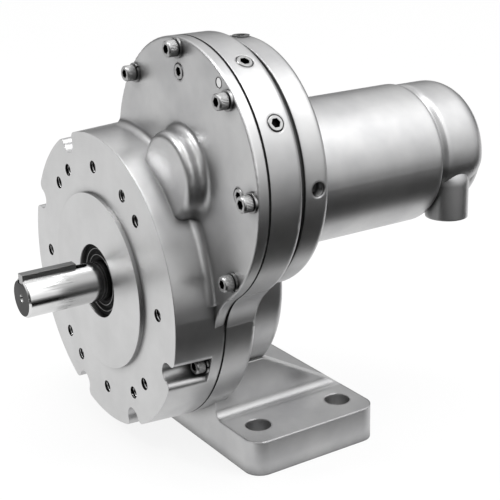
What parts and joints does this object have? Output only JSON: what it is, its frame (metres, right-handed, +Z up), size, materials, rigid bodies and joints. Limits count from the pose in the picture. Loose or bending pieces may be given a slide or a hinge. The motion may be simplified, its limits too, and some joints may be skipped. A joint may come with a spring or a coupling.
{
  "type": "air vane motor",
  "caption": "Foot-mounted air vane motor with an offset two-stage gear reducer, a keyed output shaft and a face-mounting flange",
  "frame": {"origin": "centre of the mounting flange's front face, on the output shaft's axis", "axes": "-Y along the output shaft, out of its free end; +X to the right seen from the shaft; +Z up, away from the foot"},
  "size_m": [0.2522, 0.285, 0.2705],
  "materials": {
    "cast_aluminium": "satin cast",
    "steel": "ground",
    "gear_steel": "cut",
    "screw_steel": "plain",
    "seal_rubber": "matte",
    "gasket": "matte",
    "iron": "ground",
    "bronze": "turned",
    "vane_composite": "matte"
  },
  "bodies": {
    "housing": {"front_cover": "cast_aluminium", "gear_housing": "cast_aluminium", "cover_gasket": "gasket", "cover_screws": "screw_steel", "lock_washers": "screw_steel", "cover_plugs": "screw_steel", "housing_plugs": "screw_steel", "ring_lock_screw": "screw_steel", "locating_dowel": "steel", "oil_seal": "seal_rubber", "bearing_snap_ring": "screw_steel", "plate_snap_ring": "screw_steel", "intermediate_plate": "steel", "ring_gear": "gear_steel", "output_front_bearing_outer_ring": "steel", "output_rear_bearing_outer_ring": "steel", "pinion_bearing_outer_ring": "steel", "carrier_bearing_outer_ring": "steel", "rotor_front_bearing_outer_ring": "steel", "rotor_rear_bearing_outer_ring": "steel", "motor_seal": "seal_rubber", "motor_screws": "screw_steel", "motor_barrel": "cast_aluminium", "cylinder_liner": "iron", "front_end_plate": "iron", "rear_end_plate": "iron", "cap_gasket": "gasket", "rear_cap": "cast_aluminium", "cap_screws": "screw_steel"},
    "output": {"output_shaft": "steel", "shaft_key": "screw_steel", "output_gear": "gear_steel", "gear_key": "screw_steel", "output_front_bearing_inner_ring": "steel", "output_rear_bearing_inner_ring": "steel"},
    "carrier": {"planet_carrier": "steel", "drive_pinion": "gear_steel", "planet_pins": "steel", "pinion_bearing_inner_ring": "steel", "carrier_bearing_inner_ring": "steel"},
    "planet_1": {"planet_gear_1": "gear_steel", "planet_bush_1": "bronze"},
    "planet_2": {"planet_gear_2": "gear_steel", "planet_bush_2": "bronze"},
    "planet_3": {"planet_gear_3": "gear_steel", "planet_bush_3": "bronze"},
    "rotor": {"rotor_shaft": "steel", "rotor": "iron", "vanes": "vane_composite", "sun_gear": "gear_steel", "rotor_front_bearing_inner_ring": "steel", "rotor_rear_bearing_inner_ring": "steel"}
  },
  "joints": [
    {"name": "output_spin", "type": "hinge", "parent": "housing", "child": "output", "pos_m": [0, 0.018, 0], "axis": [0, 1, 0], "continuous": true},
    {"name": "carrier_spin", "type": "hinge", "parent": "housing", "child": "carrier", "pos_m": [0.06693, 0.042, 0.08061], "axis": [0, 1, 0], "continuous": true},
    {"name": "planet_1_spin", "type": "hinge", "parent": "carrier", "child": "planet_1", "pos_m": [0.06693, 0.068, 0.11871], "axis": [0, 1, 0], "continuous": true},
    {"name": "planet_2_spin", "type": "hinge", "parent": "carrier", "child": "planet_2", "pos_m": [0.03393, 0.068, 0.06156], "axis": [0, 1, 0], "continuous": true},
    {"name": "planet_3_spin", "type": "hinge", "parent": "carrier", "child": "planet_3", "pos_m": [0.09992, 0.068, 0.06156], "axis": [0, 1, 0], "continuous": true},
    {"name": "rotor_spin", "type": "hinge", "parent": "housing", "child": "rotor", "pos_m": [0.06693, 0.135, 0.08061], "axis": [0, 1, 0], "continuous": true}
  ],
  "couplings": [
    {"joint": "carrier_spin", "follows": "output_spin", "ratio": -3.125},
    {"joint": "planet_1_spin", "follows": "output_spin", "ratio": 8.9844},
    {"joint": "planet_2_spin", "follows": "output_spin", "ratio": 8.9844},
    {"joint": "planet_3_spin", "follows": "output_spin", "ratio": 8.9844},
    {"joint": "rotor_spin", "follows": "output_spin", "ratio": -13.393}
  ]
}
